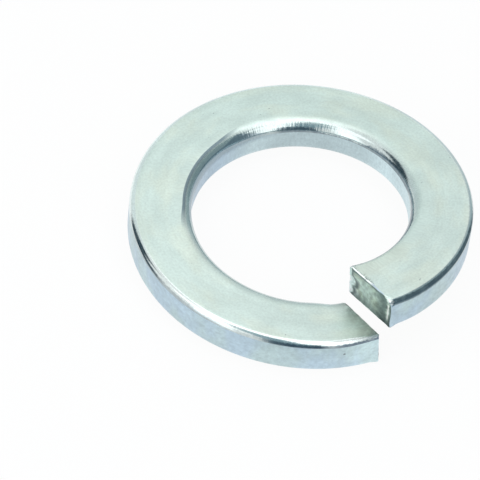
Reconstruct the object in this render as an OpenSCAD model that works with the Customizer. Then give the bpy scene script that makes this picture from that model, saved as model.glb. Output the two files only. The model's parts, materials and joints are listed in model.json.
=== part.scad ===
// Spring lock washer: one turn of flat wire with rounded edges, coiled left-handed and cut through.
// The bore's axis is Z, the lower end touches Z = 0, and the split faces -Y. Sizes are in millimetres.

/* [Ring] */
// Diameter of the bore, which passes a 20 mm bolt with room to spare
bore_d = 21.2; // [16:0.1:30]
// Width of the wire, from the bore to the rim
wire_w = 6.1; // [4.5:0.1:9]
// Thickness of the wire
wire_t = 3.8; // [3:0.1:5]

/* [Edges] */
// How far the rounded edges beside the bore reach in over the two faces
bore_edge_in = 1.4; // [0.3:0.05:1.8]
// How far they reach along the bore
bore_edge_up = 1.1; // [0.3:0.05:1.4]
// Radius of the two edges along the rim
rim_edge_r = 0.6; // [0.2:0.05:1.4]

/* [Spring] */
// Height that the coil climbs in one whole turn
rise = 4.4; // [1:0.1:8]

/* [Split] */
// Gap between the two cut ends, at the middle of the wire
split_gap = 0.6; // [0.3:0.1:3]
// Turn of the cut, in degrees, away from a straight line through the bore's axis
cut_skew = 14; // [-20:1:25]
// Lean of the cut, in degrees, away from upright
cut_lean = 3; // [-10:1:10]

/* [Hidden] */

bore_r = bore_d / 2;
rim_r = bore_r + wire_w;
mid_r = bore_r + wire_w / 2;

// Smoothness: degrees between sections along the coil, steps in an edge's round, sides of a circle
turn_step = 3;
edge_steps = 5;
circle_sides = 180;

// An edge's round stops this many degrees in, and the flank goes straight on from there past the
// true bore or rim, which is then cut to its exact circle
round_to = 80;

// The coil is measured in turned degrees, clockwise from the split as seen from above
gap_turn = split_gap / mid_r * 180 / PI;
first_turn = gap_turn / 2;
last_turn = 360 - gap_turn / 2;
sections = ceil((last_turn - first_turn) / turn_step);

// Degrees by which the slanted cut lies ahead of the wire's middle, at radius r and height z
function cut_ahead(r, z) =
    cut_skew - asin((mid_r * sin(cut_skew) - (wire_t / 2 - z) * tan(cut_lean)) / r);

// Height of the wire's underside at a turn, 0 at the lowest corner of the lower end
low_corner_turn = first_turn - cut_ahead(rim_r - rim_edge_r, 0);
function climb(turn) = rise * (turn - low_corner_turn) / 360;

// Each edge is a quarter of an oval: its reach in over the face, and its reach along the flank
bore_edge = [bore_edge_in, bore_edge_up];
rim_edge = [rim_edge_r, rim_edge_r];

// How far the round of edge e is from the flank, and from the face, after angle a
function round_in(e, a) = e[0] * (1 - sin(a));
function round_up(e, a) = e[1] * (1 - cos(a));

// Where the two flanks meet, past the bore or the rim, at half the wire's thickness
function flank_tip(e) =
    (wire_t / 2 - round_up(e, round_to)) * e[0] / e[1] / tan(round_to) - round_in(e, round_to);

// The wire's section as points [radius, height], from the underside up the bore side and back
edge_angles = [for (i = [0 : edge_steps]) round_to * i / edge_steps];
function turned_back(list) = [for (i = [len(list) - 1 : -1 : 0]) list[i]];
wire_section = concat(
    [for (a = edge_angles) [bore_r + round_in(bore_edge, a), round_up(bore_edge, a)]],
    [[bore_r - flank_tip(bore_edge), wire_t / 2]],
    [for (a = turned_back(edge_angles)) [bore_r + round_in(bore_edge, a), wire_t - round_up(bore_edge, a)]],
    [for (a = edge_angles) [rim_r - round_in(rim_edge, a), wire_t - round_up(rim_edge, a)]],
    [[rim_r + flank_tip(rim_edge), wire_t / 2]],
    [for (a = turned_back(edge_angles)) [rim_r - round_in(rim_edge, a), round_up(rim_edge, a)]]
);
corners = len(wire_section);

// A section's point, set on the slanted cut and carried round the coil
function on_coil(turn, p) =
    let (own_turn = turn - cut_ahead(p[0], p[1]), angle = -90 - own_turn)
    [p[0] * cos(angle), p[0] * sin(angle), p[1] + climb(own_turn)];

// The whole turn of wire, with both cut ends flat
module coil() {
    turns = [for (i = [0 : sections]) first_turn + (last_turn - first_turn) * i / sections];
    points = [for (turn = turns) for (p = wire_section) on_coil(turn, p)];
    sides = [
        for (i = [0 : sections - 1]) for (j = [0 : corners - 1])
            let (a = i * corners + j, b = i * corners + (j + 1) % corners)
            each [[a, b, b + corners], [a, b + corners, a + corners]]
    ];
    lower_end = [for (j = [1 : corners - 2]) [0, j + 1, j]];
    top = sections * corners;
    upper_end = [for (j = [1 : corners - 2]) [top, top + j, top + j + 1]];
    polyhedron(points, concat(sides, lower_end, upper_end));
}

// A round bar on the bore's axis that reaches past the coil above and below
module round_bar(r) {
    reach = wire_t;
    translate([0, 0, -reach]) cylinder(r = r, h = rise + wire_t + 2 * reach, $fn = circle_sides);
}

module spring_washer() {
    color([0.78, 0.82, 0.80])
    intersection() {
        difference() {
            coil();
            round_bar(bore_r);
        }
        round_bar(rim_r);
    }
}

spring_washer();
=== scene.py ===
# %% [markdown]
# A spring lock washer is one turn of flat wire, wound into a shallow coil and cut through.
# The solid model already holds its true size, so it is loaded first and nothing moves it.
# This lesson builds the finished washer round it: the rolled wire, the sheared ends, the zinc
# plate, and a light tent like the one in which such small bright parts are photographed.

# %% Load the solid model
import json
from math import asin, atan2, cos, degrees, exp, hypot, pi, radians, sin, sqrt, tan

import bmesh
import bpy
from mathutils import Matrix, Vector, noise


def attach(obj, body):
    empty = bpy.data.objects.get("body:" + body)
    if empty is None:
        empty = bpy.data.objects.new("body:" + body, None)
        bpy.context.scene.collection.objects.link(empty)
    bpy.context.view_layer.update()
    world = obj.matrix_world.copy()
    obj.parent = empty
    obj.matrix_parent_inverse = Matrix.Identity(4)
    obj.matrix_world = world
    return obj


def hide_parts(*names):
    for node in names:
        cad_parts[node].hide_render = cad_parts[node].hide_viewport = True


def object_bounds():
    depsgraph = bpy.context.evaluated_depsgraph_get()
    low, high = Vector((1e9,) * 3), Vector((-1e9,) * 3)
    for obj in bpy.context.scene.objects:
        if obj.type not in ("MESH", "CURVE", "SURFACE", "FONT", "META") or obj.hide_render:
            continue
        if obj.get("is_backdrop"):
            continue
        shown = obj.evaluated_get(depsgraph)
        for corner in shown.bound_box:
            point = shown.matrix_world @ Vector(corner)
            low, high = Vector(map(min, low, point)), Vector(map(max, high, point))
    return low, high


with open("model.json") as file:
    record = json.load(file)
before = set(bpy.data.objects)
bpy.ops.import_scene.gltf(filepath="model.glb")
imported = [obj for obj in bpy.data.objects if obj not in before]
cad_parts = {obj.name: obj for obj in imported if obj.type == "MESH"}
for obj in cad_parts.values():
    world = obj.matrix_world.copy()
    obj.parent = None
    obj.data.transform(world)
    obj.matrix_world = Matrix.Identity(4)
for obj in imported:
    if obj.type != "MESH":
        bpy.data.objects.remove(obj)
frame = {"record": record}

MM = 0.001
cad_low, cad_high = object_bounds()
print("Box of the solid model in mm:", [round(x / MM, 3) for x in (*cad_low, *cad_high)])

# %% [markdown]
# A maker orders such a washer by a few sizes. The bore comes from the model's mount and the rim
# from its box, so they can't drift from the solid. The wire's thickness, its rounded edges, its
# climb and the angles of the cut are the values that the solid was made with.

# %% Sizes of the washer
bore_mount = next(mount for mount in frame["record"]["mounts"] if mount["name"] == "bore")
BORE_R = bore_mount["dims"]["r_mm"] * MM
RIM_R = cad_high.x
WIRE_WIDE = RIM_R - BORE_R
MID_R = (BORE_R + RIM_R) / 2
WIRE_THICK = 3.8 * MM
RISE = 4.4 * MM
BORE_EDGE_IN = 1.4 * MM
BORE_EDGE_UP = 1.1 * MM
RIM_EDGE = 0.6 * MM
SPLIT_GAP = 0.6 * MM
CUT_SKEW = radians(14)
CUT_LEAN = radians(3)
print("Bore", round(2 * BORE_R / MM, 2), "mm, rim", round(2 * RIM_R / MM, 2), "mm")

# %% [markdown]
# Every detail of the washer follows the wire, so a few small functions say where a point lies in
# it. Turns are counted in degrees clockwise from the split, as seen from above. The cut is
# slanted, so at each radius and height it lies a little ahead of the wire's middle or behind it.

# %% Find a place in the wire
def cut_ahead(radius, height):
    """Degrees by which the slanted cut lies ahead, at a radius and a height in the wire."""
    sideways = MID_R * sin(CUT_SKEW) - (WIRE_THICK / 2 - height) * tan(CUT_LEAN)
    return degrees(CUT_SKEW - asin(sideways / radius))


FIRST_TURN = degrees(SPLIT_GAP / MID_R) / 2
LAST_TURN = 360 - FIRST_TURN
LOW_CORNER_TURN = FIRST_TURN - cut_ahead(RIM_R - RIM_EDGE, 0)


def climb(turn):
    """Height of the wire's underside at a turn."""
    return RISE * (turn - LOW_CORNER_TURN) / 360


def on_coil(turn, radius, height):
    """The point in space at a turn, a radius and a height in the wire."""
    return Vector((-radius * sin(radians(turn)), -radius * cos(radians(turn)), height + climb(turn)))


def in_wire(point):
    """The turn, radius and height in the wire of a point in space."""
    turn = degrees(atan2(-point.x, -point.y)) % 360
    height = point.z - climb(turn)
    slack = (RISE - WIRE_THICK) / 2
    if height > WIRE_THICK + slack:
        turn, height = turn + 360, height - RISE
    if height < -slack:
        turn, height = turn - 360, height + RISE
    return turn, hypot(point.x, point.y), height


print("Climb from end to end in mm:", round(climb(LAST_TURN) / MM - climb(FIRST_TURN) / MM, 3))

# %% [markdown]
# Blender's operators act on whatever is selected, as they do by hand. A script picks by place
# instead of by mouse, so one helper clears the selection, one opens edit mode with nothing
# selected, and one selects every part of the mesh that passes a test.

# %% Helpers for edit mode
def deselect_all():
    """Leaves no object selected."""
    bpy.ops.object.select_all(action="DESELECT")


def start_edit(mode):
    """Opens edit mode on the active piece with nothing selected."""
    bpy.ops.object.mode_set(mode="EDIT")
    bpy.ops.mesh.select_mode(type=mode)
    bpy.ops.mesh.select_all(action="DESELECT")
    return bmesh.from_edit_mesh(bpy.context.object.data)


def select_where(elements, test):
    """Selects the vertices, edges or faces that pass a test, and says how many."""
    chosen = [element for element in elements if test(element)]
    for element in chosen:
        element.select_set(True)
    bmesh.update_edit_mesh(bpy.context.object.data)
    return len(chosen)


# %% [markdown]
# The real wire is drawn flat before it is coiled, and its section is a plain rectangle with
# rounded corners. Those beside the bore are larger, and reach further over the faces than down
# the wall. A plane of that size gets its corners from a bevel of its vertices, and the larger ones
# are stretched. Only its outline is kept, with even points on every side for the coil to follow.

# %% Draw the section of the wire
FLAT_CUTS = 15
BORE_ROUND_STEPS = 10
RIM_ROUND_STEPS = 8
BORE_WALL_CUTS = 14
RIM_WALL_CUTS = 16
SIDE_STEPS = FLAT_CUTS + 1 + (BORE_ROUND_STEPS + RIM_ROUND_STEPS) // 2
TOUCHING = 0.01 * MM

deselect_all()
bpy.ops.mesh.primitive_plane_add(size=1, location=(MID_R, 0, WIRE_THICK / 2), rotation=(pi / 2, 0, 0))
washer = bpy.context.object
washer.name = "zinc_lock_washer"
washer.scale = (WIRE_WIDE, WIRE_THICK, 1)
bpy.ops.object.transform_apply(location=True, rotation=True, scale=True)

corners = ((BORE_R, BORE_EDGE_UP, BORE_ROUND_STEPS), (RIM_R, RIM_EDGE, RIM_ROUND_STEPS))
for wall_r, edge_r, steps in corners:
    mesh = start_edit("VERT")
    select_where(mesh.verts, lambda v: abs(v.co.x - wall_r) < TOUCHING)
    bpy.ops.mesh.bevel(offset_type="OFFSET", offset=edge_r, segments=steps, affect="VERTICES")
    bpy.ops.object.mode_set(mode="OBJECT")

mesh = start_edit("VERT")
select_where(mesh.verts, lambda v: v.co.x < BORE_R + BORE_EDGE_UP + TOUCHING)
bpy.ops.transform.resize(value=(BORE_EDGE_IN / BORE_EDGE_UP, 1, 1), center_override=(BORE_R, 0, 0))
bpy.ops.object.mode_set(mode="OBJECT")

start_edit("FACE")
bpy.ops.mesh.select_all(action="SELECT")
bpy.ops.mesh.delete(type="ONLY_FACE")
for cuts, test in (
    (FLAT_CUTS, lambda e: abs(e.verts[0].co.x - e.verts[1].co.x) > WIRE_WIDE / 2),
    (BORE_WALL_CUTS, lambda e: e.calc_length() > WIRE_THICK / 4 and e.verts[0].co.x < MID_R),
    (RIM_WALL_CUTS, lambda e: e.calc_length() > WIRE_THICK / 4 and e.verts[0].co.x > MID_R),
):
    bpy.ops.mesh.select_mode(type="EDGE")
    bpy.ops.mesh.select_all(action="DESELECT")
    mesh = bmesh.from_edit_mesh(washer.data)
    select_where(mesh.edges, test)
    bpy.ops.mesh.subdivide(number_cuts=cuts)
bpy.ops.object.mode_set(mode="OBJECT")
print("Points in the section:", len(washer.data.vertices), "of", 4 * SIDE_STEPS)

# %% [markdown]
# Coiling comes next. Each point of the section is first laid on the slanted cut of the lower
# end, which no operator does, so it is a short loop. A Screw modifier then sweeps the section
# round the bore and up, left-handed like the wire of a real lock washer, and is applied.

# %% Coil the wire
COIL_STEPS = 480

for vertex in washer.data.vertices:
    radius, height = vertex.co.x, vertex.co.z
    vertex.co = on_coil(FIRST_TURN - cut_ahead(radius, height), radius, height)

coil = washer.modifiers.new("coil", "SCREW")
coil.axis = "Z"
coil.angle = -radians(LAST_TURN - FIRST_TURN)
coil.screw_offset = climb(LAST_TURN) - climb(FIRST_TURN)
coil.steps = COIL_STEPS
coil.render_steps = COIL_STEPS
coil.use_merge_vertices = False
bpy.ops.object.modifier_apply(modifier="coil")
print("Vertices in the coil:", len(washer.data.vertices), "faces:", len(washer.data.polygons))


# %% [markdown]
# The ends are open tubes now. Grid Fill closes each with an even grid of small faces, which the
# torn surface of a sheared end needs, and an inset leaves a thin border along the cut's edge.
# Grid Fill starts from the last point picked, so the corner beside the bore is picked last.

# %% Close the two ends
END_BORDER = 0.14 * MM
HALF_TURN = 180


def close_end(at_lower_end):
    """Fills one open end with a grid of faces, with a thin border round it."""
    mesh = start_edit("VERT")
    rim = [v for v in mesh.verts if v.is_boundary and (in_wire(v.co)[0] < HALF_TURN) == at_lower_end]
    for vertex in rim:
        vertex.select_set(True)
    mesh.select_flush(True)
    corner = min(rim, key=lambda v: hypot(in_wire(v.co)[1] - BORE_R, in_wire(v.co)[2] - WIRE_THICK))
    mesh.select_history.clear()
    mesh.select_history.add(corner)
    bmesh.update_edit_mesh(washer.data)
    before = len(mesh.faces)
    bpy.ops.mesh.fill_grid(span=SIDE_STEPS, offset=0)
    mesh = bmesh.from_edit_mesh(washer.data)
    print("Faces over the end:", len(mesh.faces) - before, "round", len(rim), "points")
    bpy.ops.mesh.inset(thickness=END_BORDER, depth=0, use_even_offset=True)
    bpy.ops.object.mode_set(mode="OBJECT")


deselect_all()
washer.select_set(True)
bpy.context.view_layer.objects.active = washer
close_end(at_lower_end=True)
close_end(at_lower_end=False)

# %% [markdown]
# A skin of steel has an outside, and every face has to agree on which side that is. Doubled
# points would split the skin, so they are merged first, and then all faces are turned outwards.

# %% Point all faces outwards
MERGE_WITHIN = 0.0005 * MM

start_edit("FACE")
bpy.ops.mesh.select_all(action="SELECT")
bpy.ops.mesh.remove_doubles(threshold=MERGE_WITHIN)
bpy.ops.mesh.normals_make_consistent(inside=False)
bpy.ops.object.mode_set(mode="OBJECT")
print("Vertices in the closed washer:", len(washer.data.vertices), "faces:", len(washer.data.polygons))

# %% [markdown]
# Rolling lines, grain and stains follow the wire round the coil, so the finish can't use plain
# coordinates. Each point is told its place in the straight wire: how far along, how far out from
# the bore and how high, in millimetres. It also gets its lean, from 0 on the flats to 1 on the
# walls, and its distance from each cut.

# %% Read the section
def smooth(x):
    """Eases from 0 to 1."""
    x = min(max(x, 0), 1)
    return x * x * (3 - 2 * x)


def nearest_corner(radius, height):
    """Side and face of the wire's nearest corner, its edge's reach in and up, and a point's place
    in it as shares: 0, 0 where the edge's round begins on both sides, 1, 1 at the sharp corner."""
    side, from_wall, reach = "bore", radius - BORE_R, (BORE_EDGE_IN, BORE_EDGE_UP)
    if radius > MID_R:
        side, from_wall, reach = "rim", RIM_R - radius, (RIM_EDGE, RIM_EDGE)
    face, from_face = ("top", WIRE_THICK - height) if height > WIRE_THICK / 2 else ("bottom", height)
    return side, face, reach, 1 - from_wall / reach[0], 1 - from_face / reach[1]


def inside_outline(radius, height):
    """About how deep a point lies inside the outline of the wire's section."""
    _, _, reach, across, upright = nearest_corner(radius, height)
    if min(across, upright) > 0:
        return min(reach) * (1 - hypot(across, upright))
    return min(reach[0] * (1 - across), reach[1] * (1 - upright))


def lean_of(radius, height):
    """How far the surface has turned from a flat, 0, to a wall, 1."""
    _, _, reach, across, upright = nearest_corner(radius, height)
    across, upright = max(across, 0), max(upright, 0)
    return atan2(across / reach[0], upright / reach[1]) / (pi / 2) if across > 0 else 0


def from_cuts(turn, radius, height):
    """A point's distances along the wire from the lower cut and from the upper one."""
    along = turn + cut_ahead(radius, height)
    return radians(along - FIRST_TURN) * radius, radians(LAST_TURN - along) * radius


print("Lean at the middle of the bore's wall:", lean_of(BORE_R, WIRE_THICK / 2))


# %% Write each point's place in the wire
def write_attribute(name, values):
    """Gives every point of the washer a number or a vector under a name."""
    is_vector = isinstance(values[0], tuple)
    kind, field = ("FLOAT_VECTOR", "vector") if is_vector else ("FLOAT", "value")
    attribute = washer.data.attributes.new(name, kind, "POINT")
    flat = [number for value in values for number in value] if is_vector else values
    attribute.data.foreach_set(field, flat)
    print("Wrote", name, "on", len(values), "points")


points = [in_wire(vertex.co) for vertex in washer.data.vertices]
write_attribute("wire_place", [(radians(t) * MID_R / MM, (r - BORE_R) / MM, h / MM) for t, r, h in points])
write_attribute("lean", [lean_of(r, h) for t, r, h in points])
write_attribute("from_lower_cut", [from_cuts(*point)[0] / MM for point in points])
write_attribute("from_upper_cut", [from_cuts(*point)[1] / MM for point in points])


# %% [markdown]
# The coiling tools press the edges of the upper face unevenly, so a round reaches in further at
# one turn than at another. A short table gives the share of the full reach, turn by turn.

# %% Share of an edge's reach round the coil
REACH_SHARES = {
    # side: turn in degrees, share
    "bore": (
        (0, 1), (100, 1), (116, 0.70), (158, 0.70), (178, 0.97), (240, 0.97), (262, 0.88),
        (292, 0.84), (325, 0.5),
    ),
    "rim": ((0, 0.9), (60, 1), (270, 1), (300, 0.8), (360, 0.8)),
}
# A point on a round's border counts as in it, even where rounding puts it a hair outside
BORDER_SLACK = 0.01


def reach_share(side, turn):
    """The share of its full reach that a round has at a turn."""
    stops = REACH_SHARES[side]
    before, share = stops[0]
    for after, next_share in stops[1:]:
        if turn < after:
            return share + (next_share - share) * smooth((turn - before) / (after - before))
        before, share = after, next_share
    return share


def uneven(turn, radius, height):
    """A point's radius once the round that it is in has its own reach at this turn."""
    side, face, _, across, upright = nearest_corner(radius, height)
    if face == "bottom" or min(across, upright) < -BORDER_SLACK:
        return radius
    wall_r = BORE_R if side == "bore" else RIM_R
    return wall_r + (radius - wall_r) * reach_share(side, turn)


print("Share of the bore's round half-way round the coil:", reach_share("bore", HALF_TURN))


# %% [markdown]
# A shear doesn't leave the neat section that the rolls gave. It nips the wire a little narrower,
# and the rounded corners run out to a tighter round towards the cut, slowly along the rim of the
# lower end. No operator fades a corner like that, so the points are moved by a rule.

# %% What the shear leaves of the corners
END_ROUNDS = {
    # end, side, face: what is left of the round at the cut, length over which it tightens
    ("upper", "bore", "top"): (0.18, 2.6 * MM),
    ("upper", "bore", "bottom"): (0.40, 1.2 * MM),
    ("upper", "rim", "top"): (1.0, 1.0 * MM),
    ("upper", "rim", "bottom"): (0.40, 1.0 * MM),
    ("lower", "bore", "top"): (0.75, 1.4 * MM),
    ("lower", "bore", "bottom"): (0.45, 1.2 * MM),
    ("lower", "rim", "top"): (0.20, 4.0 * MM),
    ("lower", "rim", "bottom"): (0.40, 1.0 * MM),
}
NIPPED = {
    # end, side: how much narrower at the cut, at the underside and at the top, and over which length
    ("upper", "bore"): (0.34 * MM, 0.34 * MM, 2.6 * MM),
    ("upper", "rim"): (0.08 * MM, 0.08 * MM, 3.0 * MM),
    ("lower", "bore"): (0.50 * MM, 0.50 * MM, 3.0 * MM),
    ("lower", "rim"): (0.0, 0.26 * MM, 5.0 * MM),
}
NIP_LONG = 5 * MM
print("Corners with a round of their own at the cuts:", len(END_ROUNDS))

# %% Tighten the corners and nip the wire
# How much more the points of a tighter round crowd towards its middle
CROWDING = 1.2


def nearest_end(turn, radius, height):
    """Which cut is nearer to a point of the wire, and how far away it is along the wire."""
    from_lower, from_upper = from_cuts(turn, radius, height)
    return ("lower", from_lower) if from_lower < from_upper else ("upper", from_upper)


def tightened(radius, height, end, from_end):
    """A point's radius and height once the corner that it is in has a tighter round."""
    side, face, reach, across, upright = nearest_corner(radius, height)
    if min(across, upright) <= 0:
        return radius, height
    left_at_cut, fade = END_ROUNDS[end, side, face]
    left = 1 - (1 - left_at_cut) * (1 - smooth(from_end / fade))
    square = 1 - left
    inside = hypot(across, upright)
    from_diagonal = atan2(across, upright) / (pi / 4) - 1
    eased = abs(from_diagonal) ** (1 + CROWDING * square)
    angle = pi / 4 * (1 + (eased if from_diagonal > 0 else -eased))
    diagonal = square * (sin(angle) + cos(angle))
    if max(sin(angle), cos(angle)) * square < min(sin(angle), cos(angle)):
        outline = diagonal + sqrt(max(diagonal**2 - 2 * square**2 + left**2, 0))
    else:
        outline = 1 / max(sin(angle), cos(angle))
    from_wall = reach[0] * (1 - inside * outline * sin(angle))
    from_face = reach[1] * (1 - inside * outline * cos(angle))
    radius = BORE_R + from_wall if side == "bore" else RIM_R - from_wall
    height = WIRE_THICK - from_face if face == "top" else from_face
    return radius, height


def nipped(radius, height, end, from_end):
    """A point's radius once the shear has nipped the wire narrower."""
    outward, upward = (radius - BORE_R) / WIRE_WIDE, height / WIRE_THICK
    for side, share in (("bore", 1 - outward), ("rim", -outward)):
        at_underside, at_top, length = NIPPED[end, side]
        depth = at_underside + (at_top - at_underside) * upward
        radius += depth * share * (1 - smooth(from_end / length))
    return radius


print("Radius of the bore at the nipped lower cut:", round(nipped(BORE_R, 0, "lower", 0) / MM, 2), "mm")


# %% [markdown]
# The cut's own edges aren't sharp either. They are drawn back a little all round, and more where
# a burr has been pushed over. The upper end has lost the corner between its cut, its face and its
# rim, and a chip is missing from the lower end. The torn face is lumpy, with a raised lip along
# the bore, where the metal gave way last.

# %% Wear and tear of the cuts
ON_CUT = 0.005 * MM
EDGE_BACK = 0.07 * MM
EDGE_WAVE = 0.35
BURR_BACK = 0.34 * MM
# Shares of the wire's width: the burr is full after the first, fades from the second, over the third
BURR_RISE, BURR_FROM, BURR_FADE = 0.15, 0.4, 0.2
CORNER_BACK = 0.65 * MM
CORNER_WIDE = 1.15 * MM
CORNER_HIGH = 0.75 * MM
CHIP_AT = 0.75 * MM
CHIP_WIDE = 0.40 * MM
CHIP_DEEP = 0.14 * MM
BACK_FADE = 1.8 * MM
LUMP_SIZE = 0.7 * MM
LUMP_HIGH = 0.05 * MM
# Softness of the lumps, how much finer each layer of them is, and how many layers
LUMP_LAYERS = (0.8, 2.0, 3)
LIP_WIDE = 0.45 * MM
LIP_HIGH = 0.10 * MM
# The raggedness of the lip: its mean share of the height, its swing, and its size beside the lumps'
LIP_SHARE, LIP_SWING, LIP_FINER = 0.6, 0.8, 0.4


def edge_back(end, radius, height):
    """How far a cut's edge is drawn back from the cut, at a point of the outline."""
    _, face, _, _, _ = nearest_corner(radius, height)
    outward = (radius - BORE_R) / WIRE_WIDE
    back = EDGE_BACK * (1 + EDGE_WAVE * noise.noise(Vector((radius, height, 0)) / LUMP_SIZE))
    if end == "upper" and face == "top":
        back += BURR_BACK * smooth(outward / BURR_RISE) * (1 - smooth((outward - BURR_FROM) / BURR_FADE))
    if end == "lower" and face == "top":
        back += CHIP_DEEP * exp(-(((radius - BORE_R - CHIP_AT) / CHIP_WIDE) ** 2))
    return back


def corner_back(end, radius, height):
    """How much of the upper end is missing at a point, where its corner is lost."""
    left = (RIM_R - radius) / CORNER_WIDE + (WIRE_THICK - height) / CORNER_HIGH
    return CORNER_BACK * max(1 - left, 0) if end == "upper" else 0


def relief(point, radius):
    """How far the torn face stands out of the cut's plane."""
    lumps = noise.fractal(point / LUMP_SIZE, *LUMP_LAYERS, noise_basis="PERLIN_ORIGINAL")
    lip = exp(-(((radius - BORE_R - LIP_WIDE / 2) / LIP_WIDE * 2) ** 2))
    ragged = LIP_SHARE + LIP_SWING * noise.noise(point / (LIP_FINER * LUMP_SIZE))
    return LUMP_HIGH * lumps + LIP_HIGH * lip * ragged


print("Lost corner in mm:", [round(size / MM, 2) for size in (CORNER_WIDE, CORNER_HIGH, CORNER_BACK)])


# %% [markdown]
# The torn faces look nothing like the plated wire, so they get a finish slot of their own. That
# is done before the points move, while the cuts are still flat and easy to recognise.

# %% Give the torn faces their own finish slot
WIRE_SLOT = 0
CUT_SLOT = 1


def is_torn(face):
    """Whether a face lies on a cut, inside its thin border and away from the lost corner."""
    for turn, radius, height in [in_wire(vertex.co) for vertex in face.verts]:
        end, from_end = nearest_end(turn, radius, height)
        if from_end > ON_CUT or inside_outline(radius, height) < ON_CUT:
            return False
        if corner_back(end, radius, height) > 0:
            return False
    return True


bpy.ops.object.material_slot_add()
bpy.ops.object.material_slot_add()
mesh = start_edit("FACE")
print("Torn faces:", select_where(mesh.faces, is_torn))
washer.active_material_index = CUT_SLOT
bpy.ops.object.material_slot_assign()
bpy.ops.object.mode_set(mode="OBJECT")

# %% [markdown]
# Now every point goes to its worn place, in the order in which the real forms arose: the corners
# tighten towards the cuts, the rounds get their uneven reach, the shear nips the wire, and the
# cuts are drawn back or stand out. A point slides along the slanted cut when its radius changes,
# so that the cut stays flat where nothing has worn it.

# %% Move the points
cut_outline = set()
for vertex in washer.data.vertices:
    turn, radius, height = in_wire(vertex.co)
    end, from_end = nearest_end(turn, radius, height)
    new_radius, new_height = radius, height
    back = 0
    if from_end < NIP_LONG:
        new_radius, new_height = tightened(radius, height, end, from_end)
        back = corner_back(end, new_radius, new_height) * (1 - smooth(from_end / BACK_FADE))
    if from_end < ON_CUT and inside_outline(radius, height) < ON_CUT:
        cut_outline.add(vertex.index)
        back += edge_back(end, radius, height)
    elif from_end < ON_CUT:
        back -= relief(vertex.co, radius) if back == 0 else 0
    new_radius = uneven(turn, new_radius, new_height)
    if from_end < NIP_LONG:
        new_radius = nipped(new_radius, new_height, end, from_end)
    turn += degrees(back / radius) * (1 if end == "lower" else -1)
    turn += cut_ahead(radius, height) - cut_ahead(new_radius, new_height)
    vertex.co = on_coil(turn, new_radius, new_height)
print("Points moved:", len(washer.data.vertices), "of them on the cuts' outlines:", len(cut_outline))

# %% [markdown]
# The piece rides on the washer's only body and stands for the solid, which is hidden. Its rounds
# are shaded smooth, and the outlines of the two cuts stay crisp.

# %% Tie the piece to the solid model
SMOOTH_BELOW = radians(35)

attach(washer, "root")
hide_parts("spring_washer")
bpy.ops.object.shade_smooth_by_angle(angle=SMOOTH_BELOW)
for edge in washer.data.edges:
    if cut_outline.issuperset(edge.vertices):
        edge.use_edge_sharp = True
print("Crisp edges:", sum(edge.use_edge_sharp for edge in washer.data.edges))


# %% [markdown]
# A finish is built from nodes, and dozens of them would bury the idea under wiring. A small class
# gives the few that are needed short words: a fade between two values, a band that comes and
# goes, grain, a blend of two colours, and a table that is followed round the coil. A mask is a
# number from 0 to 1 that says how far a point belongs to something.

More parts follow.
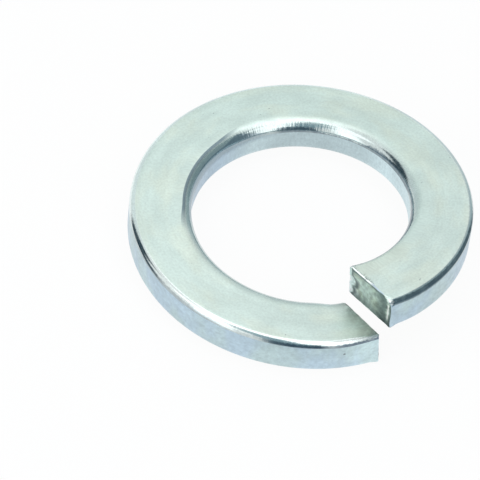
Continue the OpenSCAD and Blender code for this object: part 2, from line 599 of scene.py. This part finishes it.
# %% Helper for finishes
class Finish:
    """A material in the making."""

    def __init__(self, name):
        self.material = bpy.data.materials.new(name)
        self.material.use_nodes = True
        self.nodes = self.material.node_tree.nodes
        self.links = self.material.node_tree.links
        self.shader = self.nodes["Principled BSDF"]

    def plug(self, value, socket):
        """Feeds a socket with another node's output or with a plain value."""
        if isinstance(value, bpy.types.NodeSocket):
            self.links.new(value, socket)
        else:
            socket.default_value = value

    def node(self, kind, values, **options):
        """Adds a node, sets its options, and fills its sockets by name or number."""
        node = self.nodes.new("ShaderNode" + kind)
        for option, choice in options.items():
            setattr(node, option, choice)
        for socket, value in values.items():
            self.plug(value, node.inputs[socket])
        return node

    def number(self, name):
        """An attribute of the piece."""
        return self.node("Attribute", {}, attribute_name=name).outputs["Fac"]

    def place(self, along=1, outward=1, up=1):
        """The place in the wire in mm, with a scale for each direction."""
        place = self.node("Attribute", {}, attribute_name="wire_place").outputs["Vector"]
        return self.node("VectorMath", {0: place, 1: (along, outward, up)}, operation="MULTIPLY").outputs[0]

    def maths(self, operation, first, second):
        """One sum on two numbers."""
        return self.node("Math", {0: first, 1: second}, operation=operation).outputs[0]

    def both(self, first, second):
        """The part that two masks share, or a mask made weaker by a factor."""
        return self.maths("MULTIPLY", first, second)

    def fade(self, value, start, end, low=0, high=1):
        """Eases from low, where the value is at the start, to high, where it is at the end."""
        values = {"Value": value, "From Min": start, "From Max": end, "To Min": low, "To Max": high}
        return self.node("MapRange", values, interpolation_type="SMOOTHSTEP").outputs[0]

    def choose(self, mask, outside, inside):
        """One number outside a mask and another inside it."""
        return self.fade(mask, 0, 1, outside, inside)

    def band(self, value, start, full, full_end, end):
        """Eases in from the start to full, and out again."""
        return self.both(self.fade(value, start, full), self.fade(value, end, full_end))

    def grain(self, place, scale, detail=2):
        """Noise round 0.5, with its scale in 1 / mm."""
        values = {"Vector": place, "Scale": scale, "Detail": detail}
        return self.node("TexNoise", values).outputs[0]

    def patches(self, place, scale, detail, span, low=0, high=1):
        """Grain that eases from low to high as its noise crosses a span."""
        return self.fade(self.grain(place, scale, detail), *span, low, high)

    def blend(self, mask, first, second):
        """The first colour outside a mask and the second inside it."""
        mixer = self.node("Mix", {0: mask, 6: first, 7: second}, data_type="RGBA")
        return mixer.outputs[2]

    def by_turn(self, turned, stops):
        """A number that passes from stop to stop round the coil. A stop is a turn and its number."""
        ramp = self.node("ValToRGB", {0: self.maths("DIVIDE", turned, 360)})
        points = ramp.color_ramp.elements
        for turn, number in stops:
            point = points.new(turn / 360)
            point.color = (number, number, number, 1)
        points.remove(points[0])
        points.remove(points[len(points) - 1])
        return ramp.outputs[0]

    def shade(self, colour, factor):
        """Makes a colour darker or brighter by a factor."""
        return self.node("VectorMath", {0: colour, "Scale": factor}, operation="SCALE").outputs[0]

    def bump(self, height, distance, normal=None):
        """Raises the surface by a height from 0 to 1 times a distance in metres."""
        values = {"Height": height, "Distance": distance, "Strength": 1}
        if normal:
            values["Normal"] = normal
        return self.node("Bump", values).outputs["Normal"]

    def metal(self, colour, roughness, normal):
        """Ends the finish as bare metal."""
        self.plug(colour, self.shader.inputs["Base Color"])
        self.plug(roughness, self.shader.inputs["Roughness"])
        self.plug(normal, self.shader.inputs["Normal"])
        self.shader.inputs["Metallic"].default_value = 1
        print("Finish", self.material.name, "has", len(self.nodes), "nodes")

    def surface(self, shader):
        """Ends the finish as any other mix of shaders."""
        self.plug(shader.outputs[0], self.nodes["Material Output"].inputs["Surface"])
        print("Finish", self.material.name, "has", len(self.nodes), "nodes")


# %% [markdown]
# Bright zinc plate takes its look from the steel under it. The flats come from the rolls satin
# and faintly mottled, the rounds have been polished by the coiling tools, and the walls are matt,
# with a darker, bluer colour that is a painted reflection of a grey-blue surround. One finish
# covers the whole wire, so that its parts pass softly into each other, and masks say which part a
# point is on.

# %% Parts of the wire
# Heights and distances from the bore in mm, and leans, between which one part passes into the next
TOP_FROM = (1.8, 2.0)
RIM_FROM = (2.9, 3.1)
ROUND_FROM = 0.01
BORE_ROUND_FULL = 0.45
RIM_ROUND_FULL = 0.12
WALL_FROM = (0.90, 0.99)
LOW_ROUND_UP_TO = (1.15, 1.05)
LOW_ROUND_FROM = (0.3, 0.5)

zinc = Finish("satin_zinc")
lean = zinc.number("lean")
split_place = zinc.node("SeparateXYZ", {0: zinc.place()})
turned = zinc.maths("MULTIPLY", split_place.outputs["X"], degrees(MM / MID_R))
outward = split_place.outputs["Y"]
height = split_place.outputs["Z"]
on_top = zinc.fade(height, *TOP_FROM)
near_rim = zinc.fade(outward, *RIM_FROM)
round_full = zinc.choose(near_rim, BORE_ROUND_FULL, RIM_ROUND_FULL)
on_round = zinc.band(lean, ROUND_FROM, round_full, *WALL_FROM)
on_low_round = zinc.both(zinc.fade(height, *LOW_ROUND_UP_TO), zinc.fade(lean, *LOW_ROUND_FROM))
on_wall = zinc.maths("MAXIMUM", zinc.fade(lean, *WALL_FROM), on_low_round)
on_bore_top = zinc.both(on_top, zinc.fade(near_rim, 1, 0))
on_rim_top = zinc.both(on_top, near_rim)
print("Nodes that find the parts of the wire:", len(zinc.nodes))

# %% [markdown]
# Each part then gets its colour. A metal's colour is what it reflects of white, so pale zinc lies
# well above half. At some turns painted light makes the flats, the far part of the rim's round and
# parts of the walls brighter, and the bore's wall is greyer at some turns. The tables below give
# these as stops: a turn in degrees, and how strong the difference is there.

# %% Flats, rounds and walls
FLAT_COLOUR = (0.64, 0.755, 0.715, 1)
FLAT_WARM = (0.675, 0.765, 0.695, 1)
FLAT_SHADES = (0.98, 1.03)
BORE_ROUND_COLOUR = (0.58, 0.665, 0.66, 1)
RIM_ROUND_COLOUR = (0.72, 0.80, 0.79, 1)
# Painted light: the far part of the rim's round is made brighter by this factor
FAR_RIM_TURNS = (95, 120, 262, 280)
FAR_RIM_PAINTED_LIGHT = 1.12
# The walls' darker, bluer colours are a painted reflection of a grey-blue surround
BORE_WALL_COLOUR = (0.42, 0.54, 0.64, 1)
BORE_WALL_GREY = (0.46, 0.57, 0.60, 1)
# Painted light: the bore's wall is made brighter by this factor at the turns where it catches light
BORE_WALL_LIT_SHADE = 1.31
RIM_WALL_COLOUR = (0.48, 0.61, 0.70, 1)
RIM_WALL_GREY = (0.50, 0.63, 0.65, 1)
# Painted light: the rim's wall is made brighter by this factor towards the lower end
RIM_WALL_END_TURNS = (16, 4)
RIM_WALL_END_LIGHT = 1.16
# Stops round the coil: painted light on the flats, a greyer bore wall, and painted light on the bore wall
SUNLIT_FLATS = ((0, 0.3), (110, 0.3), (175, 1), (300, 1), (335, 0.5), (360, 0.3))
GREYER_BORE_WALL = ((0, 0.5), (110, 0), (160, 0.1), (180, 1), (300, 1))
LIT_BORE_WALL = ((160, 0), (182, 0.45), (198, 0), (225, 0), (240, 0.3), (262, 1), (300, 1))

warm = zinc.patches(zinc.place(along=0.5), 0.45, 3, (0.4, 0.7))
flat_colour = zinc.blend(warm, FLAT_COLOUR, FLAT_WARM)
flat_colour = zinc.shade(flat_colour, zinc.choose(zinc.by_turn(turned, SUNLIT_FLATS), *FLAT_SHADES))

round_colour = zinc.blend(near_rim, BORE_ROUND_COLOUR, RIM_ROUND_COLOUR)
far_rim_lit = zinc.both(near_rim, zinc.band(turned, *FAR_RIM_TURNS))
round_colour = zinc.shade(round_colour, zinc.choose(far_rim_lit, 1, FAR_RIM_PAINTED_LIGHT))

bore_wall = zinc.blend(zinc.by_turn(turned, GREYER_BORE_WALL), BORE_WALL_COLOUR, BORE_WALL_GREY)
lit_bore_wall = zinc.by_turn(turned, LIT_BORE_WALL)
bore_wall = zinc.shade(bore_wall, zinc.choose(lit_bore_wall, 1, BORE_WALL_LIT_SHADE))

rim_patches = zinc.patches(zinc.place(up=0.5), 0.25, 3, (0.4, 0.6))
rim_wall = zinc.blend(rim_patches, RIM_WALL_COLOUR, RIM_WALL_GREY)
rim_wall = zinc.shade(rim_wall, zinc.fade(turned, *RIM_WALL_END_TURNS, 1, RIM_WALL_END_LIGHT))

colour = zinc.blend(on_round, flat_colour, round_colour)
colour = zinc.blend(on_wall, colour, zinc.blend(near_rim, bore_wall, rim_wall))
print("Nodes with the plain colours:", len(zinc.nodes))

# %% [markdown]
# Below a round a dark band runs before the wall begins: painted shade, a dark reflection painted
# into the colour. It is a band of lean, so it follows its round however far that reaches, and stops
# round the coil say how dark it is. Noise shifts it up and down and breaks it here and there, so
# that it isn't even.

# %% Painted shade below the rounds
# Painted shade: the colours of the dark bands below the rounds
BORE_CREASE_SHADE_COLOUR = (0.13, 0.18, 0.22, 1)
RIM_CREASE_SHADE_COLOUR = (0.15, 0.20, 0.25, 1)
# Leans at which the bore's crease begins: as a rule, where its round is squeezed, where it is thin
CREASE_FROM, SQUEEZED_FROM, THIN_FROM = 0.55, 0.20, 0.82
SQUEEZED_TURNS = (286, 325)
THIN_TURNS = (210, 221, 238, 250)
BORE_CREASE_SOFT = 0.10
# Leans at which it begins to end, before and after these turns
BORE_CREASE_ENDS = (0.94, 0.70)
BORE_CREASE_ENDS_TURNS = (278, 292)
BORE_CREASE_END_SOFT = 0.05
BORE_CREASE_SHADE = (
    (0, 0.3), (100, 0.3), (112, 0), (190, 0), (197, 0.8), (215, 0.8), (242, 0.7), (264, 0.8),
    (285, 0.7), (300, 0.85), (356, 0.85),
)
# The same for the rim's crease
RIM_CREASE_FROM = (0.73, 0.60)
RIM_CREASE_FROM_TURNS = (2, 14)
RIM_CREASE_SOFT = 0.08
RIM_CREASE_ENDS = (0.97, 0.998)
RIM_CREASE_SHADE = (
    (0, 1), (12, 0.95), (15, 0.5), (17, 0.5), (20, 0.95), (32, 0.8), (40, 0), (50, 0), (60, 0.3),
    (120, 0), (270, 0), (282, 0.3), (300, 0.35), (325, 0.4), (345, 0.6),
)

jitter = zinc.patches(zinc.place(along=2.5), 1.5, 4, (0.3, 0.7), -0.05, 0.05)
crease_from = zinc.choose(zinc.fade(turned, *SQUEEZED_TURNS), CREASE_FROM, SQUEEZED_FROM)
crease_from = zinc.choose(zinc.band(turned, *THIN_TURNS), crease_from, THIN_FROM)
crease_from = zinc.maths("ADD", crease_from, jitter)
crease_full = zinc.maths("ADD", crease_from, BORE_CREASE_SOFT)
crease_ends = zinc.fade(turned, *BORE_CREASE_ENDS_TURNS, *BORE_CREASE_ENDS)
crease_gone = zinc.maths("ADD", crease_ends, BORE_CREASE_END_SOFT)
bore_crease_shade = zinc.band(lean, crease_from, crease_full, crease_ends, crease_gone)
bore_crease_shade = zinc.both(bore_crease_shade, zinc.by_turn(turned, BORE_CREASE_SHADE))

crease_from = zinc.maths("ADD", zinc.fade(turned, *RIM_CREASE_FROM_TURNS, *RIM_CREASE_FROM), jitter)
crease_full = zinc.maths("ADD", crease_from, RIM_CREASE_SOFT)
rim_crease_shade = zinc.band(lean, crease_from, crease_full, *RIM_CREASE_ENDS)
rim_crease_shade = zinc.both(rim_crease_shade, zinc.by_turn(turned, RIM_CREASE_SHADE))

ragged = zinc.both(zinc.patches(zinc.place(along=1.2), 1.3, 4, (0.25, 0.6), 0.72, 1), on_top)
colour = zinc.blend(zinc.both(bore_crease_shade, ragged), colour, BORE_CREASE_SHADE_COLOUR)
colour = zinc.blend(zinc.both(rim_crease_shade, ragged), colour, RIM_CREASE_SHADE_COLOUR)
print("Nodes with the creases:", len(zinc.nodes))

# %% [markdown]
# Two softer painted shades belong to the same rounds. A brink is a thin painted shade where a flat
# tips over into a round, and dusk is the broad painted grey on one side of the bore, where the
# round faces away from the light. A brink is a band of lean again, and dusk is a band of height.

# %% Painted brinks and dusk
# Painted shade: the colours of the brinks and of dusk
BRINK_SHADE_COLOUR = (0.20, 0.265, 0.295, 1)
BRINK_LEANS = (0.004, 0.03)
BORE_BRINK_ENDS = (0.12, 0.25)
BORE_BRINK_SHADE = ((100, 0), (112, 1), (164, 1), (175, 0))
RIM_BRINK_ENDS = (0.08, 0.18)
RIM_BRINK_SHADE = ((280, 0), (300, 0.5), (325, 0.6), (347, 0.6), (352, 0))
DUSK_COLOUR = (0.25, 0.33, 0.39, 1)
DUSK_HEIGHTS = (2.15, 2.9)
DUSK = ((100, 0), (112, 0.8), (165, 0.8), (184, 0.6), (196, 0))
# The height at which dusk ends, in mm, is 4 times the number at a stop, which can't pass 1
DUSK_ENDS = ((110, 0.87), (163, 0.87), (172, 0.925), (192, 0.74))
DUSK_ENDS_SCALE = 4
DUSK_END_SOFT = 0.10

for place, brink_ends, stops in (
    (on_bore_top, BORE_BRINK_ENDS, BORE_BRINK_SHADE),
    (on_rim_top, RIM_BRINK_ENDS, RIM_BRINK_SHADE),
):
    brink_shade = zinc.both(zinc.band(lean, *BRINK_LEANS, *brink_ends), zinc.by_turn(turned, stops))
    colour = zinc.blend(zinc.both(brink_shade, place), colour, BRINK_SHADE_COLOUR)

dusk_gone = zinc.maths("MULTIPLY", zinc.by_turn(turned, DUSK_ENDS), DUSK_ENDS_SCALE)
dusk_ends = zinc.maths("SUBTRACT", dusk_gone, DUSK_END_SOFT)
dusk = zinc.both(zinc.band(height, *DUSK_HEIGHTS, dusk_ends, dusk_gone), zinc.by_turn(turned, DUSK))
colour = zinc.blend(zinc.both(dusk, on_bore_top), colour, DUSK_COLOUR)
print("Nodes with brinks and dusk:", len(zinc.nodes))

# %% [markdown]
# The lower end's upper face is painted darker, a painted shade from the raised upper end beside
# it, and the shade runs out along a slanted line. Grain in three sizes keeps the flats from looking
# painted: a broad mottle, rolling lines along the wire and a fine salt-and-pepper. The walls have a
# coarser grain of their own.

# %% Painted shade over the lower end, and grain
# Painted shade: the colour of the lower end's upper face near its cut
END_SHADE_COLOUR = (0.36, 0.39, 0.35, 1)
END_SHADE_SLANT = 0.22
END_SHADE_RUNS_OUT = (2.1, -0.9)
END_SHADE_LEANS = (0.5, 0.2)
GRAINS = (
    # scale along, outward and up; noise in 1 / mm; detail; span of the noise; how far it shades
    ((0.6, 1, 1), 0.5, 4, (0.3, 0.7), 0.05),
    ((1, 1, 1), 4.5, 3, (0.25, 0.75), 0.06),
    ((0.15, 1.6, 1.6), 1, 4, (0.25, 0.75), 0.025),
)

from_cut = zinc.maths("MULTIPLY", outward, END_SHADE_SLANT)
from_cut = zinc.maths("SUBTRACT", zinc.number("from_lower_cut"), from_cut)
end_shade = zinc.fade(from_cut, *END_SHADE_RUNS_OUT)
end_shade = zinc.both(end_shade, zinc.patches(zinc.place(), 1.6, 4, (0.3, 0.7), 0.5, 0.9))
end_shade = zinc.both(end_shade, zinc.both(on_top, zinc.fade(lean, *END_SHADE_LEANS)))
colour = zinc.blend(end_shade, colour, END_SHADE_COLOUR)

for scales, scale, detail, span, change in GRAINS:
    grain = zinc.patches(zinc.place(*scales), scale, detail, span, 1 - change, 1 + change)
    colour = zinc.shade(colour, grain)
wall_grain = zinc.patches(zinc.place(along=1.3), 2.2, 4, (0.25, 0.75), 0.93, 1.07)
colour = zinc.shade(colour, zinc.choose(on_wall, 1, wall_grain))
print("Nodes with stain and grain:", len(zinc.nodes))

# %% [markdown]
# The burr along the upper end's edge gets a painted highlight, near white, and where it runs out a
# bluish painted reflection on its bevel. One small pit shows on the rim beside the lower end, and a
# few specks lie where the plate has missed the steel.

# %% Painted highlight on the burr, pit and specks
# Painted highlight on the burr, and painted reflection on the bevel beyond it
BURR_HIGHLIGHT_COLOUR = (0.95, 1.0, 1.0, 1)
BEVEL_REFLECTION_COLOUR = (0.62, 0.75, 0.84, 1)
BURR_LENGTH = (0.08, 0.03)
BURR_WIDTH = (0.3, 0.7, 4.6, 4.9)
BEVEL_FROM = (2.7, 3.3)
SPECK_COLOUR = (0.2, 0.24, 0.26, 1)
RIM_PIT = (2.74, 6.1, 2.25)
PIT_EDGE = (0.16, 0.05)

burr = zinc.both(zinc.fade(zinc.number("from_upper_cut"), *BURR_LENGTH), on_top)
burr = zinc.both(burr, zinc.band(outward, *BURR_WIDTH))
colour = zinc.blend(burr, colour, zinc.blend(zinc.fade(outward, *BEVEL_FROM), BURR_HIGHLIGHT_COLOUR, BEVEL_REFLECTION_COLOUR))
from_pit = zinc.node("VectorMath", {0: zinc.place(), 1: RIM_PIT}, operation="DISTANCE").outputs["Value"]
colour = zinc.blend(zinc.fade(from_pit, *PIT_EDGE), colour, SPECK_COLOUR)
specks = zinc.patches(zinc.place(), 2.3, 1, (0.77, 0.82), 0, 0.5)
colour = zinc.blend(specks, colour, SPECK_COLOUR)
print("Nodes with burr, pit and specks:", len(zinc.nodes))

# %% [markdown]
# Colour is only half of a metal. The other half is its gloss, satin on the flats and almost
# polished on the rounds, and the tiny relief that breaks its reflections: pits, rolling lines,
# and chatter marks across the bore's round. They are far too small to model, so they are bump.

# %% Gloss and fine relief of the zinc
FLAT_ROUGHNESS = 0.38
ROUND_ROUGHNESS = 0.15
WALL_ROUGHNESS = 0.34
PIT_DEPTH = 0.003 * MM
LINE_DEPTH = 0.004 * MM
CHATTER_DEPTH = 0.02 * MM
CHATTER = ((0, 0.2), (150, 0.2), (168, 1), (218, 1), (232, 0.2))

roughness = zinc.choose(on_round, FLAT_ROUGHNESS, ROUND_ROUGHNESS)
roughness = zinc.choose(on_wall, roughness, WALL_ROUGHNESS)
roughness = zinc.maths("ADD", roughness, zinc.patches(zinc.place(), 1.5, 2, (0.3, 0.7), -0.03, 0.04))

pits = zinc.bump(zinc.grain(zinc.place(), 5, 3), PIT_DEPTH)
rolling = zinc.bump(zinc.grain(zinc.place(along=0.06, outward=2, up=2), 1, 3), LINE_DEPTH, pits)
chatter = zinc.both(zinc.grain(zinc.place(along=4, outward=0.5, up=0.5), 1, 3), on_round)
chatter = zinc.both(chatter, zinc.by_turn(turned, CHATTER))
zinc.metal(colour, roughness, zinc.bump(chatter, CHATTER_DEPTH, rolling))

# %% [markdown]
# A sheared face has two textures. The blade first leaves a smooth dark strip, here towards the
# rim, and the rest tears off grey and grainy, with a furrow beside the bright lip along the bore.
# The strips are bands across the face, and noise makes their borders wander. Painted shade darkens
# the face towards the bottom, under its top edge and in its low corner by the rim, and a thin white
# glint near the rim is a painted highlight.

# %% Torn steel on the two cuts
TORN_COLOUR = (0.56, 0.66, 0.62, 1)
YELLOWED = (0.58, 0.67, 0.585, 1)
TORN_DARK_AND_SHADE = (0.17, 0.225, 0.225, 1)
DARK_STRENGTH = 0.9
LIP_COLOUR = (0.82, 0.94, 0.92, 1)
GLINT_COLOUR = (1, 1, 1, 1)
# Distances from the bore and heights in mm, from where a strip begins to where it ends
LIP_ENDS = (0.7, 0.5)
FURROW = (0.62, 0.82, 0.95, 1.4)
SHEARED_SMOOTH = (3.2, 4.9, 5.25, 5.6)
BOTTOM_SHADE = (1.6, 0.1)
RIM_STRIP = (5.70, 5.78)
UNDER_EDGE_SHADE, UNDER_EDGE_SHADE_FROM = (3.34, 3.5), (0.6, 0.9)
LOW_CORNER_SHADE_OUT, LOW_CORNER_SHADE_UP_TO = (5.0, 5.5), (0.9, 0.3)
GLINT_OUT, GLINT_UP = (5.46, 5.54, 5.62, 5.70), (0.7, 1.2, 2.7, 3.1)
TORN_ROUGHNESS, SHEARED_ROUGHNESS = 0.45, 0.3
TORN_BUMP = 0.03 * MM

torn = Finish("sheared_steel")
split_place = torn.node("SeparateXYZ", {0: torn.place()})
from_bore = split_place.outputs["Y"]
height = split_place.outputs["Z"]
wander = torn.patches(torn.place(outward=0), 1.1, 2, (0.2, 0.8), -0.3, 0.3)
wandering = torn.maths("ADD", from_bore, wander)

colour = torn.blend(torn.patches(torn.place(), 0.6, 2, (0.45, 0.65)), TORN_COLOUR, YELLOWED)
sheared_smooth = torn.band(wandering, *SHEARED_SMOOTH)
# Dark strips of the steel, and painted shade towards the bottom, under the top edge and in the low corner
for dark in (
    torn.band(wandering, *FURROW),
    sheared_smooth,
    torn.fade(height, *BOTTOM_SHADE, 0, 0.75),
    torn.fade(from_bore, *RIM_STRIP),
    torn.both(torn.fade(height, *UNDER_EDGE_SHADE, 0, 0.8), torn.fade(wandering, *UNDER_EDGE_SHADE_FROM)),
    torn.both(torn.fade(from_bore, *LOW_CORNER_SHADE_OUT), torn.fade(height, *LOW_CORNER_SHADE_UP_TO)),
):
    colour = torn.blend(torn.both(dark, DARK_STRENGTH), colour, TORN_DARK_AND_SHADE)
colour = torn.blend(torn.fade(wandering, *LIP_ENDS), colour, LIP_COLOUR)
colour = torn.shade(colour, torn.patches(torn.place(), 2.0, 5, (0.25, 0.75), 0.75, 1.3))
# Painted highlight: a thin white glint near the rim
glint = torn.both(torn.band(from_bore, *GLINT_OUT), torn.band(height, *GLINT_UP))
colour = torn.blend(glint, colour, GLINT_COLOUR)
roughness = torn.choose(sheared_smooth, TORN_ROUGHNESS, SHEARED_ROUGHNESS)
torn.metal(colour, roughness, torn.bump(torn.grain(torn.place(), 2.2, 4), TORN_BUMP))

washer.material_slots[WIRE_SLOT].material = zinc.material
washer.material_slots[CUT_SLOT].material = torn.material

# %% [markdown]
# The camera looks down on the washer from high in front and a little to the left of the split,
# with a long lens, so that near and far parts keep their proportions. It is tilted a few degrees
# about its line of sight. Its turn counts from the front to the right, so this one is negative.

# %% Camera
CAMERA_PLACE = Vector((-128.504, -202.339, 249.565)) * MM
CAMERA_AZIMUTH = radians(-31.10)
CAMERA_ELEVATION = radians(46.1745)
CAMERA_ROLL = radians(6.7327)
CAMERA_LENS = 263.6
SENSOR_WIDTH = 36
SEES_FROM = 10 * MM
SEES_TO = 10000 * MM

toward = Vector((sin(CAMERA_AZIMUTH), -cos(CAMERA_AZIMUTH), 0))
side = Vector((cos(CAMERA_AZIMUTH), sin(CAMERA_AZIMUTH), 0))
back = toward * cos(CAMERA_ELEVATION) + Vector((0, 0, sin(CAMERA_ELEVATION)))
level_up = back.cross(side)
image_right = side * cos(CAMERA_ROLL) + level_up * sin(CAMERA_ROLL)
image_up = level_up * cos(CAMERA_ROLL) - side * sin(CAMERA_ROLL)

camera_data = bpy.data.cameras.new("camera")
camera_data.sensor_width = SENSOR_WIDTH
camera_data.lens = CAMERA_LENS
camera_data.clip_start = SEES_FROM
camera_data.clip_end = SEES_TO
camera = bpy.data.objects.new("camera", camera_data)
bpy.context.scene.collection.objects.link(camera)
turn_matrix = Matrix((image_right, image_up, back)).transposed().to_4x4()
camera.matrix_world = Matrix.Translation(CAMERA_PLACE) @ turn_matrix
bpy.context.scene.camera = camera
print("Camera at", round(CAMERA_PLACE.length / MM), "mm from the bore's foot")

# %% [markdown]
# Bright metal shows what stands round it, so its look is half made by the room. Small plated parts
# are photographed in a white tent, with softboxes behind the cloth and dark cards where an edge
# would vanish. Here the tent is a ball round the washer that glows white. It is turned to the
# camera, and each point of its cloth knows its direction in degrees.

# %% Tent of light
TENT_R = 250 * MM
TENT_WHITE = (1, 1, 1, 1)

bpy.context.scene.view_settings.view_transform = "Standard"
world = bpy.data.worlds.new("white_room")
world.use_nodes = True
world.node_tree.nodes["Background"].inputs["Color"].default_value = TENT_WHITE
world.node_tree.nodes["Background"].inputs["Strength"].default_value = 1
bpy.context.scene.world = world

deselect_all()
bpy.ops.mesh.primitive_uv_sphere_add(segments=48, ring_count=24, radius=TENT_R)
tent = bpy.context.object
tent.name = "light_tent"
tent.rotation_euler.z = CAMERA_AZIMUTH
tent.visible_camera = False
tent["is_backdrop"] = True

cloth = Finish("tent_cloth")
direction = cloth.node("TexCoord", {}).outputs["Object"]
direction = cloth.node("VectorMath", {0: direction}, operation="NORMALIZE").outputs[0]
split_direction = cloth.node("SeparateXYZ", {0: direction})
to_camera = cloth.maths("MULTIPLY", split_direction.outputs["Y"], -1)
azimuth = cloth.maths("ARCTAN2", split_direction.outputs["X"], to_camera)
azimuth = cloth.maths("MULTIPLY", azimuth, 180 / pi)
elevation = cloth.maths("MULTIPLY", cloth.maths("ARCSINE", split_direction.outputs["Z"], 0), 180 / pi)
print("Tent of", round(2 * TENT_R / MM), "mm across")

# %% [markdown]
# Softboxes and cards are painted on the cloth as soft-edged patches, the later ones over the
# earlier. Directions count to the right from the camera and up from the horizon. The softboxes
# hang overhead, high behind the washer and beside the camera, and the dark cards stand where the
# rounds mirror them.

# %% Softboxes and cards
SOFTBOX = (1.8, 1.8, 1.8)
BLUE_BLACK = (0.26, 0.34, 0.37)
CARDS = (
    # from left to right, from low to high, light, width of the soft edge
    ((-180, 180), (74, 100), SOFTBOX, 5),
    ((150, 210), (58, 82), SOFTBOX, 5),
    ((-80, -40), (44, 78), SOFTBOX, 10),
    ((-54, -28), (-8, 50), SOFTBOX, 9),
    ((12, 62), (42, 78), SOFTBOX, 5),
    ((14, 45), (6, 48), SOFTBOX, 5),
    ((-185, -118), (6, 56), (0.74, 0.80, 0.80), 10),
    ((146, 172), (-24, 32), (0.62, 0.68, 0.70), 14),
    ((-56, -4), (66, 84), (0.5, 0.6, 0.64), 8),
    ((-32, -14), (44, 72), (0.45, 0.56, 0.6), 8),
    ((-16, 14), (30, 70), (0.25, 0.36, 0.42), 7),
    ((-10, 24), (-30, 36), (0.16, 0.24, 0.29), 7),
    ((132, 150), (-10, 38), (0.42, 0.51, 0.54), 12),
    ((68, 145), (40, 64), BLUE_BLACK, 6),
    ((51, 136), (-30, 50), BLUE_BLACK, 8),
    ((58, 104), (-30, 22), (0.27, 0.355, 0.39), 10),
    ((-98, -80), (-24, 12), (0.12, 0.17, 0.20), 8),
    ((-116, -92), (-12, 46), (0.04, 0.07, 0.09), 7),
)

glow = TENT_WHITE
for azimuths, elevations, light, soft in CARDS:
    middle, half = sum(azimuths) / 2, (azimuths[1] - azimuths[0]) / 2
    from_middle = cloth.maths("SUBTRACT", azimuth, middle)
    from_middle = cloth.node("Math", {0: from_middle, 1: 180, 2: -180}, operation="WRAP").outputs[0]
    from_middle = cloth.maths("ABSOLUTE", from_middle, 0)
    across = cloth.fade(from_middle, half + soft / 2, half - soft / 2)
    low, high = elevations
    upright = cloth.band(elevation, low - soft / 2, low + soft / 2, high - soft / 2, high + soft / 2)
    glow = cloth.blend(cloth.both(across, upright), glow, (*light, 1))

cloth.nodes.remove(cloth.shader)
cloth.surface(cloth.node("Emission", {"Color": glow, "Strength": 1}))
tent.data.materials.append(cloth.material)
print("Softboxes and cards on the tent:", len(CARDS))

# %% [markdown]
# The washer lies on white paper. A coil this stiff rests on two places of its underside, so the
# paper leans a little against the bore's axis. It is laid under the washer's lowest point in its
# own direction, so that the two touch.

# %% Floor
FLOOR_R = 45 * MM
REST_TILT = 0.078
REST_TILT_TURN = radians(212.5)

tilt = Vector((-sin(REST_TILT_TURN), -cos(REST_TILT_TURN), 0)) * REST_TILT
normal = Vector((-tilt.x, -tilt.y, 1)).normalized()
resting = min(vertex.co.dot(normal) for vertex in washer.data.vertices)
deselect_all()
bpy.ops.mesh.primitive_circle_add(vertices=128, radius=FLOOR_R, fill_type="NGON")
floor = bpy.context.object
floor.name = "floor"
floor.rotation_mode = "QUATERNION"
floor.rotation_quaternion = normal.to_track_quat("Z", "Y")
floor.location = normal * resting
floor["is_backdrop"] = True
print("Paper tilted by", round(degrees(atan2(REST_TILT, 1)), 2), "degrees")

# %% [markdown]
# The paper glows to the camera and in the metal, which keeps it white, and it still takes the
# washer's shadow. Further out, the metal sees through it, so that the dark cards seem to stand
# on the table.

# %% White paper
PAPER_WHITE = (0.97, 0.97, 0.97, 1)
PAPER_GLOW = 0.92
PAPER_FADES = (21 * MM, 24 * MM)

paper = Finish("white_paper")
paper.shader.inputs["Base Color"].default_value = PAPER_WHITE
paper.shader.inputs["Roughness"].default_value = 1
paper.shader.inputs["Specular IOR Level"].default_value = 0
light_path = paper.node("LightPath", {})
seen = paper.maths("MAXIMUM", light_path.outputs["Is Camera Ray"], light_path.outputs["Is Glossy Ray"])
seen = paper.maths("MAXIMUM", seen, light_path.outputs["Is Transmission Ray"])
glowing = paper.node("Emission", {"Color": (1, 1, 1, 1), "Strength": 1})
glow_share = paper.both(seen, PAPER_GLOW)
mixed = paper.node("MixShader", {0: glow_share, 1: paper.shader.outputs[0], 2: glowing.outputs[0]})

place = paper.node("TexCoord", {}).outputs["Object"]
distance = paper.node("VectorMath", {0: place}, operation="LENGTH").outputs["Value"]
unseen = paper.maths("MAXIMUM", light_path.outputs["Is Glossy Ray"], light_path.outputs["Is Shadow Ray"])
unseen = paper.both(unseen, paper.fade(distance, *PAPER_FADES))
clear = paper.node("BsdfTransparent", {})
paper.surface(paper.node("MixShader", {0: unseen, 1: mixed.outputs[0], 2: clear.outputs[0]}))
floor.data.materials.append(paper.material)

# %% [markdown]
# Last, the box of the finished washer is written, to set beside the solid model's box from the
# start, so that anyone can check that the finish hasn't changed the washer's size.

# %% Write the visual box
low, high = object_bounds()
print("Visual box in mm:", [round(x / MM, 3) for x in (*low, *high)])
